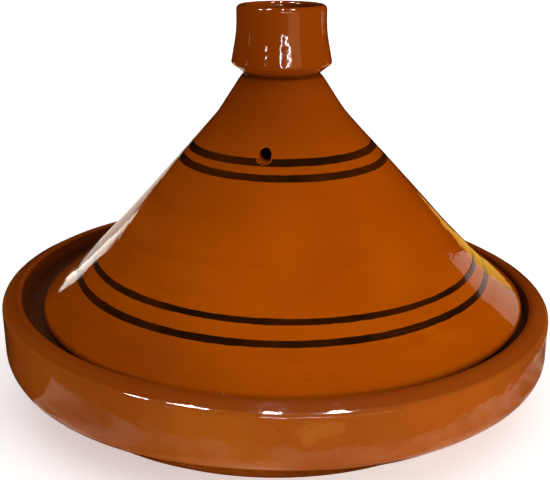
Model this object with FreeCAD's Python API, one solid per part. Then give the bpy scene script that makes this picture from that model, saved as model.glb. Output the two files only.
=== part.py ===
"""Glazed earthenware tagine: a shallow dish and a conical lid with a cup-shaped knob.

Millimetres, +Z up.  The origin is the centre of the dish's foot, on the surface it stands on.
Every turned piece is a profile of corner points (radius, height, rounding) spun about its axis.
"""
import FreeCAD, Part
import math
import os

from FreeCAD import Vector

# ---------------------------------------------------------------- driving dimensions
RIM_RADIUS = 165.0        # outside of the dish's rim
RIM_HEIGHT = 57.0         # outer edge of the rim above the foot
RIM_WIDTH = 11.0          # top of the rim, outside to inside
RIM_RISE = 6.0            # how much the rim's top rises towards the lid
FOOT_RADIUS = 128.0       # where the flat underside ends
KNUCKLE_DROP = 28.0       # below the rim, where the upright outer wall turns under
LEDGE_DROP = 8.0          # ledge that carries the lid, below the rim
LEDGE_OUTER_RADIUS = 151.5
LEDGE_INNER_RADIUS = 131.0
BOWL_FLOOR_RADIUS = 127.0
FLOOR_THICKNESS = 9.5

LID_SHIFT_X = 3.4         # the lid rests a little off the dish's centre
LID_SHIFT_Y = 3.2
LID_RADIUS = 146.0        # widest, just above the lid's standing edge
LID_EDGE_RADIUS = 142.0   # outside of the standing edge itself
LID_THICKNESS = 7.5       # wall of the cone, square to its surface
SHOULDER_DROP = 1.4       # the lid's widest edge starts this far below the rim's top
SKIRT_RADIUS = 127.5      # the cone flares out to its edge below this radius
BEND_RADIUS = 101.4       # and a little less below this one
BEND_RISE = 39.2          # height of that bend above the rim
UPPER_FLARE = 0.912       # radius gained for each mm down, above the bend
LOWER_FLARE = 0.987       # and below it
NECK_BASE_RADIUS = 37.5   # where the steeper neck below the knob turns into the cone
COLLAR_RADIUS = 24.4      # small roll of clay where the knob was luted on
COLLAR_RISE = 129.4
WAIST_RADIUS = 22.0       # narrowest, between cone and knob
WAIST_RISE = 132.0

KNOB_TOP_RISE = 170.6
KNOB_TOP_RADIUS = 26.0
KNOB_WIDEST_RADIUS = 29.4
KNOB_WIDEST_RISE = 137.6
KNOB_UPRIGHT_RISE = 156.0      # above this the knob's side is upright
KNOB_WALL = 5.5
KNOB_HOLLOW_DEPTH = 20.0

STEAM_HOLE_RADIUS = 3.5
STEAM_HOLE_RISE = 94.4

SLIP_THICKNESS = 0.3
# name: (height of the band's middle above the rim, width along the cone)
SLIP_BANDS = {
    "slip_band_top": (91.2, 4.9),
    "slip_band_second": (84.0, 4.4),
    "slip_band_third": (24.7, 3.5),
    "slip_band_bottom": (16.2, 4.0),
}

# ---------------------------------------------------------------- derived places
LEDGE_HEIGHT = RIM_HEIGHT - LEDGE_DROP
SHOULDER_HEIGHT = RIM_HEIGHT - SHOULDER_DROP
BEND_HEIGHT = RIM_HEIGHT + BEND_RISE
WAIST_HEIGHT = RIM_HEIGHT + WAIST_RISE
KNOB_TOP = RIM_HEIGHT + KNOB_TOP_RISE
RIM_INNER_RADIUS = RIM_RADIUS - RIM_WIDTH
LID_CENTRE = Vector(LID_SHIFT_X, LID_SHIFT_Y, 0)


def flare_at(height):
    """Radius gained for each mm down at a height on the cone."""
    return UPPER_FLARE if height > BEND_HEIGHT else LOWER_FLARE


def cone_radius(height):
    """Outside radius of the cone's straight stretches at a height."""
    return BEND_RADIUS + flare_at(height) * (BEND_HEIGHT - height)


def cone_height(radius):
    """Height at which the cone's straight stretches have a radius."""
    flare = UPPER_FLARE if radius < BEND_RADIUS else LOWER_FLARE
    return BEND_HEIGHT - (radius - BEND_RADIUS) / flare


def wall_step(flare):
    """Level distance between the cone's outside and inside."""
    return LID_THICKNESS * math.hypot(1.0, flare)


# ---------------------------------------------------------------- turning
def rounded_outline(corners):
    """A closed wire in the XZ plane through corners (radius, height, rounding)."""
    points = [Vector(r, 0, z) for r, z, _ in corners]
    count = len(corners)
    arrivals = []
    departures = []
    for i, (_, _, rounding) in enumerate(corners):
        before = (points[i - 1] - points[i]).normalize()
        after = (points[(i + 1) % count] - points[i]).normalize()
        half_angle = before.getAngle(after) / 2.0
        cut = rounding / math.tan(half_angle) if rounding else 0.0
        arrivals.append(points[i] + before * cut)
        departures.append(points[i] + after * cut)
    edges = []
    for i, (_, _, rounding) in enumerate(corners):
        if rounding:
            chord_middle = (arrivals[i] + departures[i]) * 0.5
            inward = (chord_middle - points[i]).normalize()
            half_angle = (arrivals[i] - points[i]).getAngle(inward)
            centre_distance = rounding / math.sin(half_angle)
            crown = points[i] + inward * (centre_distance - rounding)
            edges.append(Part.Arc(arrivals[i], crown, departures[i]).toShape())
        following = arrivals[(i + 1) % count]
        if departures[i].distanceToPoint(following) > 1e-6:
            edges.append(Part.LineSegment(departures[i], following).toShape())
    return Part.Wire(edges)


def turned(corners):
    """The solid that the outline sweeps in one full turn about Z."""
    face = Part.Face(rounded_outline(corners))
    return face.revolve(Vector(0, 0, 0), Vector(0, 0, 1), 360)


# ---------------------------------------------------------------- pieces
def make_dish():
    """Base: flat foot, sloping underside, upright wall, wide rim, ledge and bowl."""
    return turned([
        (0, 0, 0),
        (FOOT_RADIUS, 0, 12),
        (RIM_RADIUS, RIM_HEIGHT - KNUCKLE_DROP, 11),
        (RIM_RADIUS, RIM_HEIGHT, 2),
        (RIM_INNER_RADIUS, RIM_HEIGHT + RIM_RISE, 2.5),
        (LEDGE_OUTER_RADIUS, LEDGE_HEIGHT, 2),
        (LEDGE_INNER_RADIUS, LEDGE_HEIGHT, 3),
        (BOWL_FLOOR_RADIUS, FLOOR_THICKNESS, 22),
        (0, FLOOR_THICKNESS, 0),
    ])


def make_cone_body():
    """Hollow cone, closed at the top, with a flared skirt and a rounded shoulder."""
    attic_height = cone_height(NECK_BASE_RADIUS) + 3
    attic_radius = cone_radius(attic_height) - wall_step(UPPER_FLARE)
    inner_skirt_radius = SKIRT_RADIUS - wall_step(LOWER_FLARE)
    inner_edge_radius = LID_EDGE_RADIUS - LID_THICKNESS
    return turned([
        (0, WAIST_HEIGHT, 0),
        (0, attic_height, 0),
        (attic_radius, attic_height, 8),
        (BEND_RADIUS - wall_step(UPPER_FLARE), BEND_HEIGHT, 200),
        (inner_skirt_radius, cone_height(SKIRT_RADIUS), 40),
        (inner_edge_radius, SHOULDER_HEIGHT - 0.5, 6),
        (inner_edge_radius, LEDGE_HEIGHT, 1.5),
        (LID_EDGE_RADIUS, LEDGE_HEIGHT, 1.5),
        (LID_RADIUS, LEDGE_HEIGHT + 3.5, 2),
        (LID_RADIUS, SHOULDER_HEIGHT, 3),
        (SKIRT_RADIUS, cone_height(SKIRT_RADIUS), 30),
        (BEND_RADIUS, BEND_HEIGHT, 200),
        (NECK_BASE_RADIUS, cone_height(NECK_BASE_RADIUS), 60),
        (COLLAR_RADIUS, RIM_HEIGHT + COLLAR_RISE, 1.2),
        (WAIST_RADIUS, WAIST_HEIGHT, 0),
    ])


def make_steam_drill():
    """Bar the size of the steam hole, level, through the cone's front wall."""
    height = RIM_HEIGHT + STEAM_HOLE_RISE
    outside = cone_radius(height)
    start = Vector(0, -outside - 20, height)
    return Part.makeCylinder(STEAM_HOLE_RADIUS, outside + 10, start, Vector(0, 1, 0))


def make_slip_band(rise, width):
    """Thin ring let flush into the cone, its edges square to the cone's surface."""
    height = RIM_HEIGHT + rise
    flare = flare_at(height)
    slant = math.hypot(1.0, flare)
    along = Vector(flare / slant, 0, -1.0 / slant)
    inward = Vector(-1.0 / slant, 0, -flare / slant)
    middle = Vector(cone_radius(height), 0, height)
    top = middle - along * (width / 2)
    bottom = middle + along * (width / 2)
    depth = inward * SLIP_THICKNESS
    outline = Part.makePolygon([top, bottom, bottom + depth, top + depth, top])
    return Part.Face(outline).revolve(Vector(0, 0, 0), Vector(0, 0, 1), 360)


def make_knob():
    """Cup with an upright upper wall, swelling to a soft edge above the waist."""
    inner_radius = KNOB_TOP_RADIUS - KNOB_WALL
    hollow_floor = KNOB_TOP - KNOB_HOLLOW_DEPTH
    return turned([
        (0, WAIST_HEIGHT, 0),
        (WAIST_RADIUS, WAIST_HEIGHT, 0),
        (KNOB_WIDEST_RADIUS, RIM_HEIGHT + KNOB_WIDEST_RISE, 2),
        (KNOB_TOP_RADIUS, RIM_HEIGHT + KNOB_UPRIGHT_RISE, 60),
        (KNOB_TOP_RADIUS, KNOB_TOP, 2.6),
        (inner_radius, KNOB_TOP, 2.4),
        (inner_radius - 1, hollow_floor, 6),
        (0, hollow_floor, 0),
    ])


def make_all():
    """Every node's solid, in place."""
    drill = make_steam_drill()
    bands = {name: make_slip_band(*sizes) for name, sizes in SLIP_BANDS.items()}
    cone = make_cone_body()
    for band in bands.values():
        cone = cone.cut(band)
    lid = {"lid_cone": cone.cut(drill), "lid_knob": make_knob()}
    for name, band in bands.items():
        lid[name] = band.cut(drill)
    for shape in lid.values():
        shape.translate(LID_CENTRE)
    return {"dish": make_dish(), **lid}


os.makedirs("parts", exist_ok=True)
for node, shape in make_all().items():
    solid = shape.Solids[0]
    print(node, "solids", len(shape.Solids), "valid", shape.isValid(), "cm3", round(solid.Volume / 1000, 2))
    shape.exportStep(os.path.join("parts", node + ".step"))
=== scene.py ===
"""Looks for the glazed earthenware tagine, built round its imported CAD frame.

Metres, +Z up, origin under the middle of the dish.  The dish, cone and knob are turned meshes with
the unevenness of hand throwing; the slip bands are thin rings with brushed edges.
"""
import math

import bpy
from mathutils import Matrix, Vector, noise


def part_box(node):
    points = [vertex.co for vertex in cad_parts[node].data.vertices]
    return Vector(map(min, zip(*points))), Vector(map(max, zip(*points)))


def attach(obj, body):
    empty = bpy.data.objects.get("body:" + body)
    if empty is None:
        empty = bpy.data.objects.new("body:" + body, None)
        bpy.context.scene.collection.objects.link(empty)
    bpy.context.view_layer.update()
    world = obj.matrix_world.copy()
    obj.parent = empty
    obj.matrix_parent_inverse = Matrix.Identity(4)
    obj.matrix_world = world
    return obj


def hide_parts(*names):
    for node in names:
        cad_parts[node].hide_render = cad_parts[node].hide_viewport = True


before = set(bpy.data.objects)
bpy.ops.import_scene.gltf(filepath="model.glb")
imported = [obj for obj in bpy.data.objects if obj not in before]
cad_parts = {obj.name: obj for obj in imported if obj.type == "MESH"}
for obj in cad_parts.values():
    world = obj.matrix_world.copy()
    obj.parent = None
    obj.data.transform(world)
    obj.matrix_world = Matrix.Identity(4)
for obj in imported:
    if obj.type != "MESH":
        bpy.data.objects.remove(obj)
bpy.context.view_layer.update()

MM = 0.001
TAU = 2 * math.pi

# ---------------------------------------------------------------- sizes taken from the frame
DISH_LOW, DISH_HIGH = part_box("dish")
CONE_LOW, CONE_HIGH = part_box("lid_cone")
KNOB_LOW, KNOB_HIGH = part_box("lid_knob")

RIM_RADIUS = (DISH_HIGH.x - DISH_LOW.x) / 2
LID_CENTRE = Vector(((CONE_HIGH.x + CONE_LOW.x) / 2, (CONE_HIGH.y + CONE_LOW.y) / 2, 0))
LID_RADIUS = (CONE_HIGH.x - CONE_LOW.x) / 2
LEDGE_HEIGHT = CONE_LOW.z
RIM_HEIGHT = LEDGE_HEIGHT + 8 * MM
WAIST_HEIGHT = CONE_HIGH.z
KNOB_WIDEST = (KNOB_HIGH.x - KNOB_LOW.x) / 2
KNOB_TOP = KNOB_HIGH.z

# ---------------------------------------------------------------- sizes within the pieces
RIM_WIDTH = 11 * MM
RIM_RISE = 6 * MM                     # how much the rim's top rises towards the lid
RIM_INNER_RADIUS = RIM_RADIUS - RIM_WIDTH
FOOT_RADIUS = 128 * MM
KNUCKLE_DROP = 28 * MM
LEDGE_OUTER_RADIUS = 151.5 * MM
LEDGE_INNER_RADIUS = 131 * MM
BOWL_FLOOR_RADIUS = 127 * MM
FLOOR_THICKNESS = 9.5 * MM

LID_EDGE_RADIUS = LID_RADIUS - 4 * MM
LID_THICKNESS = 7.5 * MM
SHOULDER_HEIGHT = RIM_HEIGHT - 1.4 * MM
SKIRT_RADIUS = 127.5 * MM
BEND_RADIUS = 101.4 * MM
BEND_HEIGHT = RIM_HEIGHT + 39.2 * MM
UPPER_FLARE = 0.912
LOWER_FLARE = 0.987
NECK_BASE_RADIUS = 37.5 * MM
COLLAR_RADIUS = 24.4 * MM
WAIST_RADIUS = 22 * MM

KNOB_TOP_RADIUS = 26 * MM
KNOB_WALL = 5.5 * MM
KNOB_HOLLOW_DEPTH = 20 * MM

STEAM_HOLE_RADIUS = 3.5 * MM
STEAM_HOLE_EDGE = 0.45 * MM            # rounding of the hole's edge
STEAM_HOLE_HEIGHT = RIM_HEIGHT + 94.4 * MM

TURN_STEPS = 384
FRONT_STEP = TURN_STEPS * 3 // 4      # the step that faces -Y, where the steam hole is


def flare_at(height):
    return UPPER_FLARE if height > BEND_HEIGHT else LOWER_FLARE


def cone_radius(height):
    return BEND_RADIUS + flare_at(height) * (BEND_HEIGHT - height)


def cone_height(radius):
    flare = UPPER_FLARE if radius < BEND_RADIUS else LOWER_FLARE
    return BEND_HEIGHT - (radius - BEND_RADIUS) / flare


def wall_step(flare):
    return LID_THICKNESS * math.hypot(1, flare)


def smooth(x):
    x = min(max(x, 0.0), 1.0)
    return x * x * (3 - 2 * x)


# ---------------------------------------------------------------- turning
def rounded_profile(corners, step):
    """Evenly spaced points along corners (radius, height, rounding), the roundings as true arcs."""
    points = [Vector((r, z)) for r, z, _ in corners]
    path = [points[0]]
    for before, here, after, (_, _, rounding) in zip(points, points[1:], points[2:], corners[1:]):
        if not rounding:
            path.append(here)
            continue
        towards_before = (before - here).normalized()
        towards_after = (after - here).normalized()
        half = towards_before.angle(towards_after) / 2
        centre = here + (towards_before + towards_after).normalized() * (rounding / math.sin(half))
        start = here + towards_before * (rounding / math.tan(half)) - centre
        sweep = math.copysign(math.pi - 2 * half, -towards_before.cross(towards_after))
        count = max(2, math.ceil(abs(sweep) / 0.2))
        path += [centre + Matrix.Rotation(sweep * i / count, 2) @ start for i in range(count + 1)]
    path.append(points[-1])
    spaced = [path[0]]
    for a, b in zip(path, path[1:]):
        length = (b - a).length
        if length > 0.001 * MM:
            count = math.ceil(length / step)
            spaced += [a.lerp(b, (i + 1) / count) for i in range(count)]
    return spaced


def turned_mesh(profile):
    """Vertices and faces of a closed surface of revolution; the profile starts and ends on the axis."""
    verts = [Vector((0, 0, profile[0].y))]
    faces = []
    rings = profile[1:-1]
    for p in rings:
        for k in range(TURN_STEPS):
            a = TAU * k / TURN_STEPS
            verts.append(Vector((p.x * math.cos(a), p.x * math.sin(a), p.y)))
    verts.append(Vector((0, 0, profile[-1].y)))
    last_ring = 1 + (len(rings) - 1) * TURN_STEPS
    for k in range(TURN_STEPS):
        k2 = (k + 1) % TURN_STEPS
        faces.append((0, 1 + k2, 1 + k))
        for a in range(1, last_ring, TURN_STEPS):
            b = a + TURN_STEPS
            faces.append((a + k, a + k2, b + k2, b + k))
        faces.append((last_ring + k, last_ring + k2, len(verts) - 1))
    return verts, faces


def make_object(name, verts, faces, material):
    mesh = bpy.data.meshes.new(name)
    mesh.from_pydata([tuple(v) for v in verts], [], faces)
    mesh.validate()
    mesh.shade_smooth()
    mesh.materials.append(material)
    obj = bpy.data.objects.new(name, mesh)
    bpy.context.scene.collection.objects.link(obj)
    return obj


# ---------------------------------------------------------------- unevenness of hand throwing
LOW_SIDE = math.radians(11)           # direction of the rim's low side, from +X towards +Y
WARP_SIDE = Vector((math.cos(LOW_SIDE), math.sin(LOW_SIDE), 0))
RIM_WARP = 4 * MM                     # how much the rim falls on its low side and rises opposite
WARP_FADE_HEIGHT = 18 * MM            # the warp grows from nothing at the foot to full here
WARP_INNER_RADIUS = 147 * MM          # inside this the dish stays true, so that the lid sits flat
WARP_FADE_WIDTH = 6 * MM
KNUCKLE_SAG = 3.5 * MM                # extra fall of the wall's knuckle under the high side
KNUCKLE_FADE = 16 * MM                # the sag fades over this height above the foot and below its top
KNUCKLE_SAG_TOP = 46 * MM
LEAN = 1.1 * MM                       # how far the knob leans away from the low side
WOBBLE = 0.35 * MM                    # broad dents, the same field for every piece
RIPPLE = 0.07 * MM                    # finger ripples
BOWL_RIPPLE = 0.25 * MM               # throwing rings left in the bowl
LID_INSIDE_RIPPLE = 0.35 * MM         # throwing rings left inside the lid
LID_OUTSIDE_RIPPLE = 0.05 * MM        # the same, nearly smoothed away outside


def dents(p):
    """How far a point is pushed out from the axis by broad and small dents."""
    broad = noise.noise(p * 14)
    small = noise.noise(p * 55 + Vector((7, 3, 1)))
    return WOBBLE * broad + RIPPLE * small


def throwing_rings(p, pitch):
    """A spiral of soft ridges climbing one pitch each turn."""
    turn = math.atan2(p.y, p.x) / TAU
    uneven = 0.25 * noise.noise(Vector((p.x * 9, p.y * 9, p.z * 70)))
    return math.sin(TAU * (p.z / pitch + math.hypot(p.x, p.y) / pitch + turn + uneven))


def pushed_out(p, distance):
    radius = math.hypot(p.x, p.y)
    grown = 1 + distance / max(radius, 20 * MM) if radius > 0 else 1
    return Vector((p.x * grown, p.y * grown, p.z))


def warped_dish(p):
    radius = math.hypot(p.x, p.y)
    side = p.dot(WARP_SIDE) / RIM_RADIUS
    share = smooth(p.z / WARP_FADE_HEIGHT) * smooth((radius - WARP_INNER_RADIUS) / WARP_FADE_WIDTH)
    inside = radius < LEDGE_OUTER_RADIUS and p.z > FLOOR_THICKNESS * 0.8
    push = dents(p) * smooth(p.z / (6 * MM))
    drop = RIM_WARP * side * share
    if inside:
        below_ledge = smooth((LEDGE_HEIGHT - 2 * MM - p.z) / (6 * MM))
        drop -= BOWL_RIPPLE * throwing_rings(p, 9 * MM) * below_ledge
    else:
        at_knuckle = smooth(p.z / KNUCKLE_FADE) * smooth((KNUCKLE_SAG_TOP - p.z) / KNUCKLE_FADE)
        drop += KNUCKLE_SAG * smooth(-1.3 * side) * at_knuckle
    return pushed_out(p, push) - Vector((0, 0, drop))


def warped_lid(p):
    outer = cone_radius(p.z) if p.z < WAIST_HEIGHT else WAIST_RADIUS
    radius = math.hypot(p.x, p.y)
    inside = radius < outer - 5 * MM and LEDGE_HEIGHT + 4 * MM < p.z < WAIST_HEIGHT - 6 * MM
    push = dents(p + LID_CENTRE)
    if inside:
        push += LID_INSIDE_RIPPLE * throwing_rings(p, 8 * MM)
    elif RIM_HEIGHT < p.z < WAIST_HEIGHT:
        push += LID_OUTSIDE_RIPPLE * throwing_rings(p, 11 * MM)
    lean = LEAN * smooth((p.z - BEND_HEIGHT) / (KNOB_TOP - BEND_HEIGHT))
    return pushed_out(p, push) - WARP_SIDE * lean


# ---------------------------------------------------------------- profiles
def dish_profile():
    return rounded_profile([
        (0, 0, 0),
        (FOOT_RADIUS, 0, 12 * MM),
        (RIM_RADIUS, RIM_HEIGHT - KNUCKLE_DROP, 11 * MM),
        (RIM_RADIUS, RIM_HEIGHT, 3 * MM),
        (RIM_INNER_RADIUS, RIM_HEIGHT + RIM_RISE, 2.5 * MM),
        (LEDGE_OUTER_RADIUS, LEDGE_HEIGHT, 2 * MM),
        (LEDGE_INNER_RADIUS, LEDGE_HEIGHT, 3 * MM),
        (BOWL_FLOOR_RADIUS, FLOOR_THICKNESS, 22 * MM),
        (0, FLOOR_THICKNESS, 0),
    ], 2.2 * MM)


def cone_profile():
    skirt_height = cone_height(SKIRT_RADIUS)
    inner_edge = LID_EDGE_RADIUS - LID_THICKNESS
    attic_height = cone_height(NECK_BASE_RADIUS) + 3 * MM
    attic_radius = cone_radius(attic_height) - wall_step(UPPER_FLARE)
    return rounded_profile([
        (0, attic_height, 0),
        (attic_radius, attic_height, 8 * MM),
        (BEND_RADIUS - wall_step(UPPER_FLARE), BEND_HEIGHT, 200 * MM),
        (SKIRT_RADIUS - wall_step(LOWER_FLARE), skirt_height, 40 * MM),
        (inner_edge, SHOULDER_HEIGHT - 0.5 * MM, 6 * MM),
        (inner_edge, LEDGE_HEIGHT, 1.5 * MM),
        (LID_EDGE_RADIUS, LEDGE_HEIGHT, 1.5 * MM),
        (LID_RADIUS, LEDGE_HEIGHT + 3.5 * MM, 2 * MM),
        (LID_RADIUS, SHOULDER_HEIGHT, 3 * MM),
        (SKIRT_RADIUS, skirt_height, 30 * MM),
        (BEND_RADIUS, BEND_HEIGHT, 200 * MM),
        (NECK_BASE_RADIUS, cone_height(NECK_BASE_RADIUS), 60 * MM),
        (COLLAR_RADIUS, WAIST_HEIGHT - 2.6 * MM, 1.4 * MM),
        (WAIST_RADIUS, WAIST_HEIGHT, 0),
        (0, WAIST_HEIGHT, 0),
    ], 2 * MM)


def knob_profile():
    inner = KNOB_TOP_RADIUS - KNOB_WALL
    floor = KNOB_TOP - KNOB_HOLLOW_DEPTH
    return rounded_profile([
        (0, WAIST_HEIGHT, 0),
        (WAIST_RADIUS, WAIST_HEIGHT, 0),
        (KNOB_WIDEST + 0.2 * MM, WAIST_HEIGHT + 5.6 * MM, 2 * MM),
        (KNOB_TOP_RADIUS, KNOB_TOP - 14.6 * MM, 60 * MM),
        (KNOB_TOP_RADIUS, KNOB_TOP, 2.6 * MM),
        (inner, KNOB_TOP, 2.4 * MM),
        (inner - 1 * MM, floor, 6 * MM),
        (0, floor, 0),
    ], 1 * MM)


# ---------------------------------------------------------------- steam hole
def pierced(verts, faces, profile):
    """The cone with a level hole through its front wall.

    A block of quads is left out of the wall's outer and inner face, and loops that close in on the
    hole's circle take its place and run through the wall.
    """
    heights = [p.y for p in profile[1:-1]]
    edge_ring = heights.index(min(heights))

    def off_hole(ring):
        return abs(heights[ring] - STEAM_HOLE_HEIGHT)

    inner_ring = min(range(edge_ring), key=off_hole)
    outer_ring = min(range(edge_ring, len(heights)), key=off_hole)
    across = 9                        # half the block's width in steps and half its height in rings
    up = 4

    def vert_at(ring, step):
        return 1 + ring * TURN_STEPS + (FRONT_STEP + step) % TURN_STEPS

    def border(ring, upward):
        """Vertex numbers round the block, anticlockwise from outside, from its lower left corner."""
        low = ring - upward * up
        high = ring + upward * up
        loop = [vert_at(low, s) for s in range(-across, across)]
        loop += [vert_at(r, across) for r in range(low, high, upward)]
        loop += [vert_at(high, s) for s in range(across, -across, -1)]
        loop += [vert_at(r, -across) for r in range(high, low, -upward)]
        return loop

    def inside_block(ring):
        rings = range(ring - up + 1, ring + up)
        steps = range(-across + 1, across)
        return {vert_at(r, s) for r in rings for s in steps}

    dropped = inside_block(inner_ring) | inside_block(outer_ring)
    kept = [f for f in faces if not dropped & set(f)]
    outer = border(outer_ring, 1)
    inner = border(inner_ring, -1)

    def on_wall(spot, depth, proud):
        """A place over the front wall: spot is across and up from the hole's middle."""
        z = STEAM_HOLE_HEIGHT + spot.y
        y = -math.sqrt((cone_radius(z) - depth) ** 2 - spot.x ** 2)
        return Vector((spot.x, y - proud, z + proud))

    def offsets(loop):
        return [Vector((verts[n].x, verts[n].z - STEAM_HOLE_HEIGHT)) for n in loop]

    added = []

    def add_loop(points):
        first = len(verts) + len(added)
        added.extend(points)
        return list(range(first, first + len(points)))

    def add_ring(start, share, radius, depth, proud):
        """A loop part of the way from the block's border to a circle round the hole."""
        spots = [o.lerp(o.normalized() * radius, share) for o in offsets(start)]
        return add_loop([on_wall(spot, depth, proud) for spot in spots])

    inside = wall_step(UPPER_FLARE)
    mouth = STEAM_HOLE_RADIUS + STEAM_HOLE_EDGE
    loops = [outer]
    loops.append(add_ring(outer, 0.4, mouth, 0, 0))
    loops.append(add_ring(outer, 0.75, mouth, 0, 0))
    loops.append(add_ring(outer, 0.93, mouth, 0, 0.05 * MM))
    loops.append(add_ring(outer, 1, mouth, 0, 0.02 * MM))
    loops.append(add_ring(outer, 1, mouth - 0.7 * STEAM_HOLE_EDGE, 0.35 * STEAM_HOLE_EDGE, 0))
    loops.append(add_ring(outer, 1, STEAM_HOLE_RADIUS, 1.4 * STEAM_HOLE_EDGE, 0))
    for share in (0.3, 0.5, 0.7, 0.9):
        loops.append(add_ring(outer, 1, STEAM_HOLE_RADIUS, inside * share, 0))
    loops.append(add_ring(inner, 1, mouth, inside, 0.02 * MM))
    loops.append(add_ring(inner, 0.6, mouth, inside, 0))
    loops.append(inner)
    for near, far in zip(loops, loops[1:]):
        for i in range(len(outer)):
            j = (i + 1) % len(outer)
            kept.append((near[i], near[j], far[j], far[i]))
    used = sorted(set(range(len(verts) + len(added))) - dropped)
    number = {old: new for new, old in enumerate(used)}
    every = verts + added
    return [every[i] for i in used], [tuple(number[i] for i in f) for f in kept]


# ---------------------------------------------------------------- materials
def node(tree, kind, **values):
    made = tree.nodes.new(kind)
    for key, value in values.items():
        if key in made.inputs:
            made.inputs[key].default_value = value
        else:
            setattr(made, key, value)
    return made


def scaled(tree, vector, scale):
    mapping = node(tree, "ShaderNodeMapping")
    mapping.inputs["Scale"].default_value = scale
    tree.links.new(vector, mapping.inputs["Vector"])
    return mapping.outputs["Vector"]


def noise_at(tree, vector, scale, detail=2.0, roughness=0.5):
    made = node(tree, "ShaderNodeTexNoise", Scale=scale, Detail=detail, Roughness=roughness)
    tree.links.new(vector, made.inputs["Vector"])
    return made.outputs["Fac"]


def stepped(tree, value, low, high, result_low=0.0, result_high=1.0):
    made = node(tree, "ShaderNodeMapRange", interpolation_type="SMOOTHSTEP")
    made.inputs["From Min"].default_value = low
    made.inputs["From Max"].default_value = high
    made.inputs["To Min"].default_value = result_low
    made.inputs["To Max"].default_value = result_high
    tree.links.new(value, made.inputs["Value"])
    return made.outputs["Result"]


def mixed(tree, share, a, b):
    """Colour a where share is 0 and b where it is 1; either may be a socket or a plain colour."""
    made = node(tree, "ShaderNodeMix", data_type="RGBA")
    sockets = [s for s in made.inputs if s.type == "RGBA"]
    for socket, value in zip(sockets, (a, b)):
        if isinstance(value, tuple):
            socket.default_value = (*value, 1)
        else:
            tree.links.new(value, socket)
    tree.links.new(share, made.inputs[0])
    return next(s for s in made.outputs if s.type == "RGBA")


def maths(tree, operation, a, b=0.5):
    made = node(tree, "ShaderNodeMath", operation=operation)
    for socket, value in zip(made.inputs, (a, b)):
        if isinstance(value, (int, float)):
            socket.default_value = value
        else:
            tree.links.new(value, socket)
    return made.outputs[0]


def specks(tree, vector, scale, size):
    """1 in small scattered spots, 0 elsewhere; size is the spots' share of their cell."""
    cells = node(tree, "ShaderNodeTexVoronoi", Scale=scale)
    tree.links.new(vector, cells.inputs["Vector"])
    spot = stepped(tree, cells.outputs["Distance"], size * 0.5, size, 1, 0)
    rarely = node(tree, "ShaderNodeSeparateColor")
    tree.links.new(cells.outputs["Color"], rarely.inputs["Color"])
    chosen = maths(tree, "GREATER_THAN", rarely.outputs[0], 0.72)
    return maths(tree, "MULTIPLY", spot, chosen)


def zone(tree, value, low, high, soft):
    """1 between low and high, fading over a soft width on both sides."""
    rise = stepped(tree, value, low - soft, low)
    fall = stepped(tree, value, high, high + soft, 1, 0)
    return maths(tree, "MULTIPLY", rise, fall)


def shifted_place(tree, seed):
    """Object coordinates shifted, so that each material has its own noise."""
    coord = node(tree, "ShaderNodeTexCoord").outputs["Object"]
    shifted = node(tree, "ShaderNodeVectorMath", operation="ADD")
    tree.links.new(coord, shifted.inputs[0])
    shifted.inputs[1].default_value = (seed, seed * 0.7, seed * 1.3)
    return shifted.outputs[0]


def radius_and_height(tree, centre):
    """The distance from the upright axis through a centre, and the height."""
    coord = node(tree, "ShaderNodeTexCoord").outputs["Object"]
    from_axis = node(tree, "ShaderNodeVectorMath", operation="SUBTRACT")
    tree.links.new(coord, from_axis.inputs[0])
    from_axis.inputs[1].default_value = centre
    parts = node(tree, "ShaderNodeSeparateXYZ")
    tree.links.new(from_axis.outputs[0], parts.inputs[0])
    flat = node(tree, "ShaderNodeCombineXYZ")
    tree.links.new(parts.outputs["X"], flat.inputs["X"])
    tree.links.new(parts.outputs["Y"], flat.inputs["Y"])
    length = node(tree, "ShaderNodeVectorMath", operation="LENGTH")
    tree.links.new(flat.outputs[0], length.inputs[0])
    return length.outputs["Value"], parts.outputs["Z"]


def glaze_colour(tree, place, bright, deep):
    """Honey glaze over red clay: clouds, throwing rings, runs, dark and pale specks."""
    cloud = stepped(tree, noise_at(tree, place, 13, 3), 0.3, 0.72)
    rings = noise_at(tree, scaled(tree, place, (6, 6, 95)), 1, 2)
    runs = noise_at(tree, scaled(tree, place, (48, 48, 7)), 1, 3, 0.6)
    colour = mixed(tree, cloud, deep, bright)
    dark_tone = tuple(c * 0.78 for c in deep)
    colour = mixed(tree, stepped(tree, rings, 0.52, 0.82, 0, 0.4), colour, dark_tone)
    light_tone = (bright[0] * 1.2, bright[1] * 1.35, bright[2] * 1.4)
    colour = mixed(tree, stepped(tree, runs, 0.55, 0.85, 0, 0.35), colour, light_tone)
    dark_specks = maths(tree, "MULTIPLY", specks(tree, place, 210, 0.12), 0.6)
    colour = mixed(tree, dark_specks, colour, (0.06, 0.018, 0.004))
    pale_place = scaled(tree, place, (1.1, 0.9, 1))
    pale_specks = maths(tree, "MULTIPLY", specks(tree, pale_place, 160, 0.07), 0.45)
    return mixed(tree, pale_specks, colour, (0.7, 0.36, 0.12))


def bare_below(tree, place, height, level):
    """1 on the unglazed clay under a wavering line."""
    edge = node(tree, "ShaderNodeMath", operation="MULTIPLY_ADD")
    tree.links.new(noise_at(tree, place, 45, 2), edge.inputs[0])
    edge.inputs[1].default_value = 1.6 * MM
    edge.inputs[2].default_value = level - 0.8 * MM
    return maths(tree, "LESS_THAN", height, edge.outputs[0])


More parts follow.
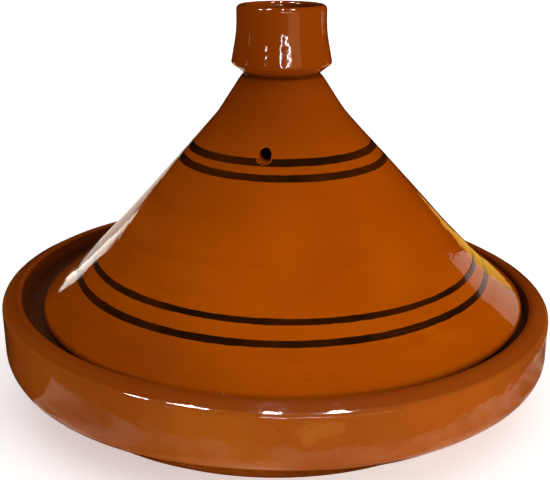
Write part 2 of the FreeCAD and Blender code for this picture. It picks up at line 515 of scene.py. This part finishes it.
def finish_glaze(tree, place, colour, bare, dry):
    """Glossy skin with slight waves over the glaze, duller where dry, rough grain over the bare clay."""
    shader = tree.nodes["Principled BSDF"]
    shader.inputs["IOR"].default_value = 1.5
    clay = mixed(tree, noise_at(tree, place, 260, 3), (0.36, 0.14, 0.07), (0.52, 0.24, 0.13))
    colour = mixed(tree, bare, colour, clay)
    tree.links.new(colour, shader.inputs["Base Color"])
    sheen = stepped(tree, noise_at(tree, place, 30, 3), 0.3, 0.75, 0.02, 0.08)
    rough = maths(tree, "MAXIMUM", sheen, maths(tree, "MULTIPLY", bare, 0.85))
    rough = maths(tree, "MAXIMUM", rough, maths(tree, "MULTIPLY", dry, 0.4))
    tree.links.new(rough, shader.inputs["Roughness"])
    tree.links.new(stepped(tree, dry, 0, 1, 0.5, 0.12), shader.inputs["Specular IOR Level"])
    skin = noise_at(tree, place, 130, 2, 0.5)
    grain = noise_at(tree, place, 900, 2, 0.5)
    relief = maths(tree, "ADD", skin, maths(tree, "MULTIPLY", grain, 0.04))
    bump = node(tree, "ShaderNodeBump", Strength=0.5, Distance=0.35 * MM)
    tree.links.new(relief, bump.inputs["Height"])
    tree.links.new(bump.outputs["Normal"], shader.inputs["Normal"])


def new_material(name):
    mat = bpy.data.materials.new(name)
    mat.use_nodes = True
    return mat


def dish_glaze():
    """Brown where the glaze lies thick on the rim, painted shade near black in the groove that the lid
    sits in, and a painted shadow of the lid on the rim's inner edge.
    """
    mat = new_material("dish_glaze")
    tree = mat.node_tree
    place = shifted_place(tree, 3.1)
    radius, height = radius_and_height(tree, (0, 0, 0))
    colour = glaze_colour(tree, place, (0.44, 0.100, 0.008), (0.35, 0.070, 0.006))
    high_up = stepped(tree, height, LEDGE_HEIGHT - 5 * MM, LEDGE_HEIGHT - 2 * MM)

    def ring(low, high, soft):
        """The part of the dish between two radii, from the ledge up."""
        return maths(tree, "MULTIPLY", zone(tree, radius, low, high, soft), high_up)

    on_rim = ring(RIM_INNER_RADIUS + 0.5 * MM, RIM_RADIUS - 2.5 * MM, 1.2 * MM)
    colour = mixed(tree, maths(tree, "MULTIPLY", on_rim, 0.65), colour, (0.27, 0.043, 0.002))
    # Painted shade: the groove that the lid sits in, darkened to near black.
    gallery_shade = ring(LEDGE_INNER_RADIUS + 3 * MM, RIM_INNER_RADIUS - 0.7 * MM, 0.7 * MM)
    colour = mixed(tree, maths(tree, "MULTIPLY", gallery_shade, 0.92), colour, (0.055, 0.014, 0.004))
    # Painted shadow of the lid, darkening the rim's inner edge.
    lid_shadow = ring(RIM_INNER_RADIUS + 0.5 * MM, RIM_INNER_RADIUS + 2.5 * MM, 4 * MM)
    colour = mixed(tree, maths(tree, "MULTIPLY", lid_shadow, 0.45), colour, (0.20, 0.030, 0.002))
    on_ledge = ring(LEDGE_INNER_RADIUS + 1 * MM, LEDGE_OUTER_RADIUS + 0.5 * MM, 1 * MM)
    finish_glaze(tree, place, colour, bare_below(tree, place, height, 1 * MM), on_ledge)
    return mat


def lid_glaze():
    """Painted shade darkening the cone towards the knob, inside the knob's hollow and in the crease
    under the knob; wiped thin at the lower edge.
    """
    mat = new_material("lid_glaze")
    tree = mat.node_tree
    place = shifted_place(tree, 7.7)
    radius, height = radius_and_height(tree, LID_CENTRE)
    colour = glaze_colour(tree, place, (0.50, 0.089, 0.0006), (0.41, 0.068, 0.0004))
    # Painted shade: the cone darkens towards the knob.
    shade_towards_knob = stepped(tree, height, BEND_HEIGHT, WAIST_HEIGHT, 0, 0.8)
    colour = mixed(tree, shade_towards_knob, colour, (0.22, 0.034, 0.001))
    # Painted shade inside the knob's hollow.
    near_axis = stepped(tree, radius, 18 * MM, 21 * MM, 1, 0)
    above_floor = stepped(tree, height, KNOB_TOP - 22 * MM, KNOB_TOP - 20.5 * MM)
    hollow_shade = maths(tree, "MULTIPLY", near_axis, above_floor)
    colour = mixed(tree, maths(tree, "MULTIPLY", hollow_shade, 0.92), colour, (0.07, 0.010, 0.001))
    # Painted shade in the crease where the knob meets the cone.
    waist_crease_shade = zone(tree, height, WAIST_HEIGHT - 0.6 * MM, WAIST_HEIGHT + 1.2 * MM, 1.2 * MM)
    colour = mixed(tree, maths(tree, "MULTIPLY", waist_crease_shade, 0.6), colour, (0.07, 0.014, 0.002))
    wiped = stepped(tree, height, SHOULDER_HEIGHT - 1.2 * MM, SHOULDER_HEIGHT + 0.4 * MM, 1, 0)
    finish_glaze(tree, place, colour, bare_below(tree, place, height, LEDGE_HEIGHT + 1.6 * MM), wiped)
    return mat


def dark_slip():
    """Dark iron slip brushed under the glaze: streaked along the band, thin in places."""
    mat = new_material("dark_slip")
    tree = mat.node_tree
    place = shifted_place(tree, 1.9)
    strokes = noise_at(tree, scaled(tree, place, (14, 14, 900)), 1, 3, 0.6)
    patches = stepped(tree, noise_at(tree, place, 22, 3), 0.4, 0.66)
    colour = mixed(tree, patches, (0.018, 0.005, 0.0004), (0.056, 0.0108, 0.0004))
    colour = mixed(tree, stepped(tree, strokes, 0.5, 0.8, 0, 0.5), colour, (0.075, 0.016, 0.001))
    shader = tree.nodes["Principled BSDF"]
    shader.inputs["IOR"].default_value = 1.5
    tree.links.new(colour, shader.inputs["Base Color"])
    sheen = stepped(tree, noise_at(tree, place, 40, 2), 0.3, 0.7, 0.05, 0.13)
    tree.links.new(sheen, shader.inputs["Roughness"])
    bump = node(tree, "ShaderNodeBump", Strength=0.5, Distance=0.35 * MM)
    tree.links.new(noise_at(tree, place, 130, 2), bump.inputs["Height"])
    tree.links.new(bump.outputs["Normal"], shader.inputs["Normal"])
    return mat


# ---------------------------------------------------------------- pieces
def make_dish(material):
    verts, faces = turned_mesh(dish_profile())
    dish = make_object("dish_body", [warped_dish(v) for v in verts], faces, material)
    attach(dish, "dish")
    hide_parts("dish")
    return dish


def make_lid(material):
    profile = cone_profile()
    verts, faces = turned_mesh(profile)
    verts, faces = pierced(verts, faces, profile)
    cone = make_object("cone_body", [warped_lid(v) + LID_CENTRE for v in verts], faces, material)
    verts, faces = turned_mesh(knob_profile())
    knob = make_object("knob_cup", [warped_lid(v) + LID_CENTRE for v in verts], faces, material)
    for piece, node_name in ((cone, "lid_cone"), (knob, "lid_knob")):
        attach(piece, "lid")
        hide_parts(node_name)
    return cone, knob


BAND_PROUD = 0.04 * MM
BAND_EDGE_BURIED = 0.05 * MM
BAND_DEPTH = 0.25 * MM
BAND_SECTION = (                      # share of the way up the band, and height over the cone
    (-0.08, -BAND_EDGE_BURIED), (0, 0), (0.08, BAND_PROUD), (0.36, BAND_PROUD), (0.64, BAND_PROUD),
    (0.92, BAND_PROUD), (1, 0), (1.08, -BAND_EDGE_BURIED), (1, -BAND_DEPTH), (0, -BAND_DEPTH),
)


def band_edge(angle, height, seed):
    """How far the brush strayed at this angle."""
    round_vector = Vector((math.cos(angle), math.sin(angle), 0)) * cone_radius(height)
    slow = noise.noise(round_vector * 16 + Vector((0, 0, seed)))
    quick = noise.noise(round_vector * 160 + Vector((0, 0, seed + 5)))
    return 0.35 * MM * slow + 0.16 * MM * quick


def make_band(node_name, seed, tilt, material):
    """A thin ring lying on the cone, tucked a little under the glaze at both edges.

    It falls by tilt on the low side and rises by as much opposite, and stops short of the steam hole.
    """
    low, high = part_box(node_name)
    low_edge = cone_height((high.x - low.x) / 2)
    high_edge = high.z
    clear = STEAM_HOLE_RADIUS + 0.2 * MM
    verts = []
    for k in range(TURN_STEPS):
        angle = TAU * k / TURN_STEPS
        fall = tilt * math.cos(angle - LOW_SIDE)
        bottom = low_edge + band_edge(angle, low_edge, seed) - 0.7 * fall
        top = high_edge + band_edge(angle, low_edge, seed + 11) - fall
        reach = abs(k - FRONT_STEP) * TAU / TURN_STEPS * cone_radius(high_edge)
        if reach < clear:
            top = min(top, STEAM_HOLE_HEIGHT - math.sqrt(clear ** 2 - reach ** 2))
        for share, proud in BAND_SECTION:
            z = bottom + (top - bottom) * share
            r = cone_radius(z) + proud * math.hypot(1, flare_at(z))
            verts.append(warped_lid(Vector((r * math.cos(angle), r * math.sin(angle), z))) + LID_CENTRE)
    size = len(BAND_SECTION)
    faces = []
    for k in range(TURN_STEPS):
        k2 = (k + 1) % TURN_STEPS
        for i in range(size):
            j = (i + 1) % size
            faces.append((k * size + i, k2 * size + i, k2 * size + j, k * size + j))
    band = make_object(node_name + "_brushed", verts, faces, material)
    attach(band, "lid")
    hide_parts(node_name)
    return band


# ---------------------------------------------------------------- stage
CAMERA_AZIMUTH = math.radians(11)
CAMERA_PAN = math.radians(0.06)
CAMERA_PITCH = math.radians(18.98)
CAMERA_ROLL = math.radians(0.12)
CAMERA_DISTANCE = 546.2 * MM
CAMERA_HEIGHT = RIM_HEIGHT + 217.2 * MM
CAMERA_LENS = 61.4


def around(azimuth, distance, height):
    """A place at an azimuth from the camera's own side: 0 is behind the camera, 90 to its right."""
    a = CAMERA_AZIMUTH + math.radians(azimuth)
    return Vector((distance * math.sin(a), -distance * math.cos(a), height))


def add_camera():
    data = bpy.data.cameras.new("camera")
    data.lens = CAMERA_LENS
    data.sensor_width = 36
    data.clip_end = 50
    camera = bpy.data.objects.new("camera", data)
    bpy.context.scene.collection.objects.link(camera)
    turn = (Matrix.Rotation(CAMERA_AZIMUTH + CAMERA_PAN, 4, "Z")
            @ Matrix.Rotation(math.pi / 2 - CAMERA_PITCH, 4, "X")
            @ Matrix.Rotation(CAMERA_ROLL, 4, "Z"))
    camera.matrix_world = Matrix.Translation(around(0, CAMERA_DISTANCE, CAMERA_HEIGHT)) @ turn
    bpy.context.scene.camera = camera


def add_lamp(name, place, target, size, radiance, colour=(1, 1, 1), roll=0):
    """A soft box of the given width and height that lights the pot but isn't mirrored in it."""
    data = bpy.data.lights.new(name, "AREA")
    data.shape = "RECTANGLE"
    data.size, data.size_y = size
    data.energy = radiance * math.pi * size[0] * size[1]
    data.color = colour
    lamp = bpy.data.objects.new(name, data)
    bpy.context.scene.collection.objects.link(lamp)
    aim = (Vector(target) - Vector(place)).to_track_quat("-Z", "Y").to_matrix().to_4x4()
    lamp.matrix_world = Matrix.Translation(place) @ aim @ Matrix.Rotation(math.radians(roll), 4, "Z")
    lamp.visible_glossy = False
    return lamp


def add_mirrored(name, place, target, size, radiance, colour=(1, 1, 1), roll=0, shows_on=()):
    """A lamp that lights nothing and only shows in the glaze, of the given pieces or of all.

    Its radiance is the brightness that a mirror would show.
    """
    lamp = add_lamp(name, place, target, size, radiance, colour, roll)
    lamp.visible_diffuse = False
    lamp.visible_glossy = True
    if shows_on:
        pieces = bpy.data.collections.new(name + "_shows_on")
        for piece in shows_on:
            pieces.objects.link(piece)
        lamp.light_linking.receiver_collection = pieces


def toward(azimuth, elevation, distance, height):
    """A place in a direction from the axis at a height, azimuth as in around()."""
    e = math.radians(elevation)
    return around(azimuth, distance * math.cos(e), height + distance * math.sin(e))


def add_floor():
    """A pale floor that glows a little, more far off, so that no horizon shows."""
    mesh = bpy.data.meshes.new("floor")
    reach = 12.0
    corners = [(-reach, -reach, 0), (reach, -reach, 0), (reach, reach, 0), (-reach, reach, 0)]
    mesh.from_pydata(corners, [], [(0, 1, 2, 3)])
    floor = bpy.data.objects.new("floor", mesh)
    bpy.context.scene.collection.objects.link(floor)
    mat = new_material("floor")
    shader = mat.node_tree.nodes["Principled BSDF"]
    shader.inputs["Base Color"].default_value = (0.9, 0.9, 0.9, 1)
    shader.inputs["Roughness"].default_value = 1
    shader.inputs["Specular IOR Level"].default_value = 0
    shader.inputs["Emission Color"].default_value = (1, 1, 1, 1)
    tree = mat.node_tree
    far_off = node(tree, "ShaderNodeVectorMath", operation="LENGTH")
    tree.links.new(node(tree, "ShaderNodeTexCoord").outputs["Object"], far_off.inputs[0])
    glow = stepped(tree, far_off.outputs["Value"], 0.2, 2.0, 0.5, 1.0)
    tree.links.new(glow, shader.inputs["Emission Strength"])
    mesh.materials.append(mat)
    floor.visible_glossy = False


def add_table_glow():
    """The lit table round the foot as the wall's glaze mirrors it; seen only in reflections."""
    inner = 150 * MM
    outer = 232 * MM
    shift = around(-90, 12 * MM, -1 * MM)
    verts = []
    for azimuth in range(-65, 151, 5):
        verts += [shift + around(azimuth, inner, 0), shift + around(azimuth, outer, 0)]
    faces = [(k, k + 1, k + 3, k + 2) for k in range(0, len(verts) - 2, 2)]
    mesh = bpy.data.meshes.new("table_glow")
    mesh.from_pydata([tuple(v) for v in verts], [], faces)
    mat = new_material("table_glow")
    tree = mat.node_tree
    shader = tree.nodes["Principled BSDF"]
    shader.inputs["Base Color"].default_value = (0, 0, 0, 1)
    place = node(tree, "ShaderNodeTexCoord").outputs["Object"]
    patches = stepped(tree, noise_at(tree, place, 12, 3, 0.6), 0.34, 0.62, 0.05, 1)
    tree.links.new(mixed(tree, patches, (0, 0, 0), (1, 0.8, 0.66)), shader.inputs["Emission Color"])
    shader.inputs["Emission Strength"].default_value = 0.66
    mesh.materials.append(mat)
    glow = bpy.data.objects.new("table_glow", mesh)
    bpy.context.scene.collection.objects.link(glow)
    glow.visible_camera = False
    glow.visible_diffuse = False
    glow.visible_shadow = False
    glow.visible_transmission = False


def add_world():
    world = bpy.data.worlds.new("studio")
    world.use_nodes = True
    back = world.node_tree.nodes["Background"]
    back.inputs["Color"].default_value = (1, 1, 1, 1)
    back.inputs["Strength"].default_value = 1
    world.cycles_visibility.diffuse = False
    world.cycles_visibility.glossy = False
    bpy.context.scene.world = world
    bpy.context.scene.view_settings.view_transform = "Standard"


def add_soft_light():
    middle = (0, 0, 0.08)
    add_lamp("overhead", (0, 0, 2.6), (0, 0, 0), (5, 5), 1.0)
    add_lamp("front_fill", around(52, 2.2, 0.9), middle, (1.6, 1.2), 4.4, (1, 0.97, 0.93))


CREAM = (1, 0.95, 0.82)
PINK = (1, 0.8, 0.66)
GOLD = (1, 0.6, 0.08)
DUSK = (1, 0.66, 0.3)
WARM_WHITE = (1, 0.93, 0.85)
CEILING_REACH = 2.0                   # distance of the ceiling lamps from the pot
CEILING_NEARER = 0.12                 # how far they hang on the camera's side, as a share of the reach
CEILING_LAMPS = (                     # name, share of the reach to the camera's right, width in metres
    ("a", -0.53, 0.22), ("b", -0.30, 0.36), ("c", 0.02, 0.10), ("d", 0.27, 0.26),
)


def add_lid_cards(lid):
    """Bright cards low behind the pot, mirrored on the two flanks of the lid."""
    cards = (
        ("low_wall_left", -158, 0.55, -0.06, (0.4, 0.36), 0.85, CREAM, 0),
        ("low_wall_left_end", -137, 0.55, 0.06, (0.07, 0.18), 2.2, CREAM, 0),
        ("slope_right", 120, 0.54, 0.035, (0.22, 0.3), 0.75, PINK, -40),
        ("wood_right", 143, 0.52, -0.07, (0.13, 0.3), 1.0, GOLD, 0),
    )
    for name, azimuth, distance, height, size, radiance, colour, roll in cards:
        place = around(azimuth, distance, height)
        add_mirrored(name, place, around(0, 0, height), size, radiance, colour, roll, lid)


def add_ceiling_lamps(pieces):
    """Four lamps overhead, mirrored as glints along the outer edge of the rim."""
    for name, across, width in CEILING_LAMPS:
        up = math.sqrt(1 - across ** 2 - CEILING_NEARER ** 2)
        sideways = around(90, CEILING_REACH * across, 0)
        place = sideways + around(0, CEILING_REACH * CEILING_NEARER, 0.06 + CEILING_REACH * up)
        size = (width, 0.16)
        add_mirrored("ceiling_" + name, place, (0, 0, 0.1), size, 150, WARM_WHITE, shows_on=pieces)


def add_knob_lamps():
    """Window, doorway and small lamps, mirrored mostly in the knob."""
    at_knob = (KNOB_LOW.z + KNOB_HIGH.z) / 2
    knob = (LID_CENTRE.x, LID_CENTRE.y, at_knob)
    lamps = (
        ("stem", 3, 3, 1.2, (0.03, 0.07), 40, (1, 1, 1), 0),
        ("leg_left", 0, 9, 1.2, (0.03, 0.26), 40, (1, 1, 1), 35),
        ("leg_right", 14, 11, 1.2, (0.03, 0.3), 40, (1, 1, 1), -65),
        ("small_left", -37, 12.5, 1.2, (0.05, 0.02), 40, (1, 0.95, 0.9), 0),
        ("doorway", 29, 4, 1.5, (0.75, 0.6), 1.1, DUSK, 0),
        ("strip_left", -87, 4, 1.5, (0.05, 0.12), 2.5, PINK, 0),
    )
    for name, azimuth, elevation, distance, size, radiance, colour, roll in lamps:
        place = toward(azimuth, elevation, distance, at_knob)
        add_mirrored(name, place, knob, size, radiance, colour, roll)


def add_reflections(dish, cone, knob, bands):
    """What the glaze mirrors; none of these lamps lights the pot."""
    add_lid_cards([cone, knob] + bands)
    add_ceiling_lamps([dish, knob])
    table_edge = around(11, 0.25, -1 * MM)
    add_mirrored("table_edge", table_edge, around(11, 0.25, 1), (0.05, 0.016), 1.3, GOLD)
    add_knob_lamps()


# ---------------------------------------------------------------- the scene
DISH_GLAZE = dish_glaze()
LID_GLAZE = lid_glaze()
DARK_SLIP = dark_slip()

DISH = make_dish(DISH_GLAZE)
CONE, KNOB = make_lid(LID_GLAZE)
BANDS = [
    make_band("slip_band_top", 0, 0, DARK_SLIP),
    make_band("slip_band_second", 20, 0.5 * MM, DARK_SLIP),
    make_band("slip_band_third", 40, 1.1 * MM, DARK_SLIP),
    make_band("slip_band_bottom", 60, 0.2 * MM, DARK_SLIP),
]
add_camera()
add_floor()
add_world()
add_soft_light()
add_reflections(DISH, CONE, KNOB, BANDS)
add_table_glow()
